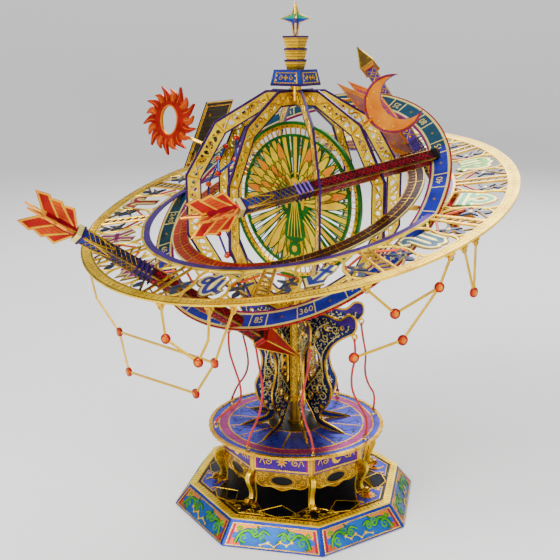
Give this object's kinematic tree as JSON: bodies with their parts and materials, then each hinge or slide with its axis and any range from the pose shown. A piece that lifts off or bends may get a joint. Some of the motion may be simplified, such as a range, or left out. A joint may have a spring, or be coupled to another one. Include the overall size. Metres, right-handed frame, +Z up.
{
  "type": "ornamental astrolabe",
  "caption": "Ornamental armillary astrolabe: sphere cage with turning disc, tilted zodiac and numeral rings, arrows, column with fins, drum and octagonal plinth.",
  "frame": {"origin": "centre of the underside of the octagonal base, on the surface it stands on", "axes": "+Z up along the column and the turning axis; -Y is the front, square to one flat of the base"},
  "size_m": [0.1964, 0.1977, 0.2326],
  "materials": {
    "gold_plate": "bright gold plated etched sheet",
    "bare_steel": "plain sheet and rod",
    "blue_enamel": "glossy blue enamel",
    "violet_enamel": "glossy violet enamel",
    "green_enamel": "glossy green enamel on gold",
    "red_enamel": "glossy red enamel",
    "orange_enamel": "glossy orange enamel",
    "black_enamel": "glossy black enamel with gold",
    "red_cord": "twisted red thread"
  },
  "bodies": {
    "stand": {"base_plate": "bare_steel", "plinth_panels": "blue_enamel", "plinth_top": "blue_enamel", "cabriole_legs": "gold_plate", "drum_apron": "gold_plate", "drum_shell": "violet_enamel", "deck_plate": "violet_enamel", "deck_rim": "gold_plate", "cord_eyelets": "gold_plate", "column_core": "bare_steel", "column_sleeve": "gold_plate", "bearing_cap": "bare_steel", "fin_1": "violet_enamel", "fin_2": "violet_enamel", "fin_3": "violet_enamel", "fin_4": "violet_enamel", "fin_5": "violet_enamel", "fin_6": "violet_enamel", "fin_7": "violet_enamel", "fin_8": "violet_enamel", "cord_1": "red_cord", "cord_2": "red_cord", "cord_3": "red_cord", "cord_4": "red_cord", "cord_5": "red_cord", "cord_6": "red_cord", "cord_7": "red_cord", "cord_8": "red_cord"},
    "globe": {"arrow_1_feathers": "orange_enamel", "arrow_1_head": "red_enamel", "arrow_1_shaft": "violet_enamel", "arrow_2_feathers": "orange_enamel", "arrow_2_head": "black_enamel", "arrow_2_shaft": "violet_enamel", "arrow_3_feathers": "orange_enamel", "arrow_3_head": "gold_plate", "arrow_3_shaft": "violet_enamel", "cage_hoop_1": "gold_plate", "cage_hoop_2": "gold_plate", "cage_hoop_3": "gold_plate", "cage_hoop_4": "gold_plate", "chart_card_left": "black_enamel", "chart_sheet_back": "orange_enamel", "chart_sheet_right": "orange_enamel", "finial_column": "gold_plate", "finial_pedestal": "blue_enamel", "finial_star": "green_enamel", "moon_crescent": "orange_enamel", "numeral_ring": "blue_enamel", "spindle": "bare_steel", "star_chains": "red_enamel", "sun_dish": "red_enamel", "tick_ring": "red_enamel", "zodiac_ring": "gold_plate"},
    "disc": {"central_disc": "green_enamel", "disc_pivot": "gold_plate"},
    "pendant_left_hung": {"pendant_left": "gold_plate"},
    "pendant_front_hung": {"pendant_front": "gold_plate"},
    "pendant_right_hung": {"pendant_right": "gold_plate"},
    "pendant_drop_hung": {"pendant_drop": "gold_plate"}
  },
  "joints": [
    {"name": "globe_turn", "type": "hinge", "parent": "stand", "child": "globe", "pos_m": [0, 0, 0.09], "axis": [0, 0, 1], "continuous": true},
    {"name": "disc_turn", "type": "hinge", "parent": "globe", "child": "disc", "pos_m": [0, 0, 0.1], "axis": [0, 0, 1], "continuous": true},
    {"name": "pendant_left_swing", "type": "hinge", "parent": "globe", "child": "pendant_left_hung", "pos_m": [-0.09058, -0.02627, 0.12593], "axis": [0.7878, -0.615, -0.0327], "range_deg": [-8, 8]},
    {"name": "pendant_front_swing", "type": "hinge", "parent": "globe", "child": "pendant_front_hung", "pos_m": [-0.03546, -0.08581, 0.11996], "axis": [0.9565, -0.285, 0.0629], "range_deg": [-8, 8]},
    {"name": "pendant_right_swing", "type": "hinge", "parent": "globe", "child": "pendant_right_hung", "pos_m": [0.04273, -0.08503, 0.13046], "axis": [0.789, 0.5694, 0.2308], "range_deg": [-8, 8]},
    {"name": "pendant_drop_swing", "type": "hinge", "parent": "globe", "child": "pendant_drop_hung", "pos_m": [0.07641, -0.05858, 0.14079], "axis": [0.5697, 0.7831, 0.2494], "range_deg": [-8, 8]}
  ]
}
